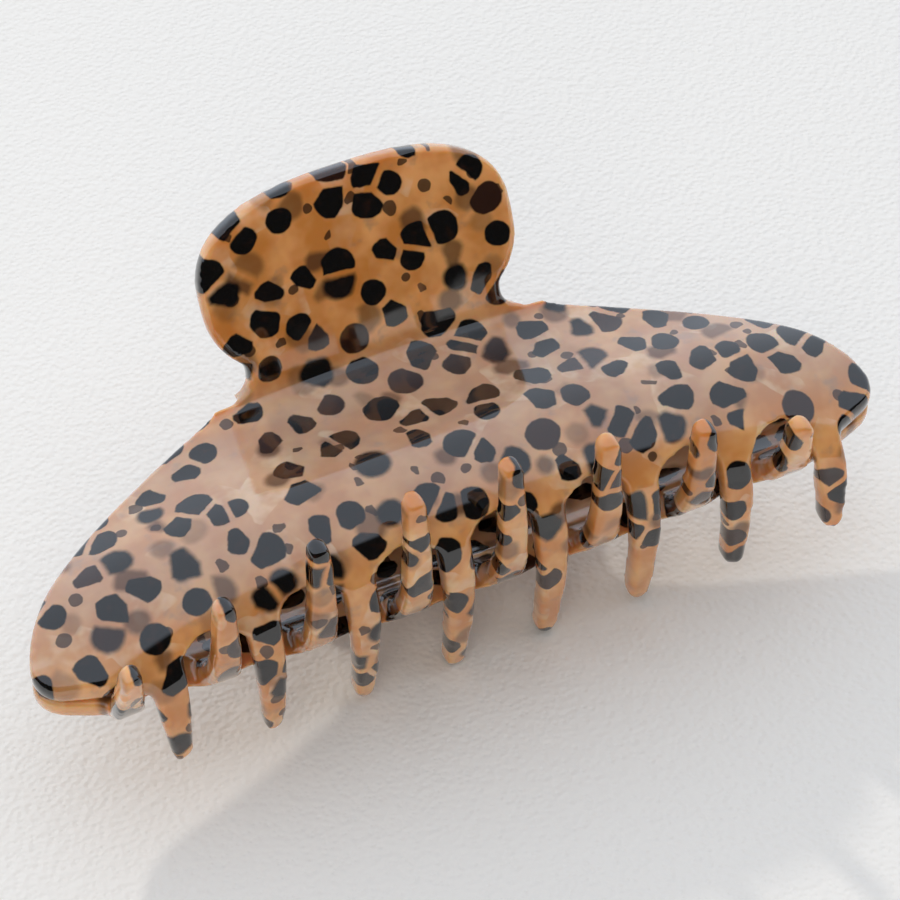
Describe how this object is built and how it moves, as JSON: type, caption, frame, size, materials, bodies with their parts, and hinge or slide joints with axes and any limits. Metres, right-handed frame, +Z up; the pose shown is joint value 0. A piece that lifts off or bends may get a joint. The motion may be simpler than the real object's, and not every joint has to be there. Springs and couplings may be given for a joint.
{
  "type": "claw clip",
  "caption": "Long rounded hair claw clip with curved acetate jaws, interleaving teeth, broad thumb tabs and a sprung steel hinge, closed and resting on one jaw.",
  "frame": {"origin": "middle of the bounding box on the floor plane", "axes": "+X along the clip and its hinge axis, +Y from the teeth towards the thumb tabs, +Z up; the clip is closed and rests on the tips of its middle teeth and on the lower thumb tab"},
  "size_m": [0.1304, 0.068, 0.0654],
  "materials": {
    "acetate": "polished translucent blonde tortoise acetate with dark brown and black flecks",
    "hinge_steel": "satin nickel-plated steel strip",
    "screws": "satin steel",
    "hinge_pin": "bright plated steel",
    "spring_steel": "bright spring wire"
  },
  "bodies": {
    "lower": {"jaw_lower": "acetate", "hinge_leaf_lower": "hinge_steel", "leaf_screws_lower": "screws", "hinge_pin": "hinge_pin", "torsion_spring": "spring_steel"},
    "upper": {"jaw_upper": "acetate", "hinge_leaf_upper": "hinge_steel", "leaf_screws_upper": "screws"}
  },
  "joints": [
    {"name": "jaw_hinge", "type": "hinge", "parent": "lower", "child": "upper", "pos_m": [0, 0.00964, 0.02936], "axis": [-1, 0, 0], "range_deg": [0, 70], "stiffness_Nm_per_rad": 0.17, "springref_deg": -51.57, "deforming": ["torsion_spring"]}
  ]
}
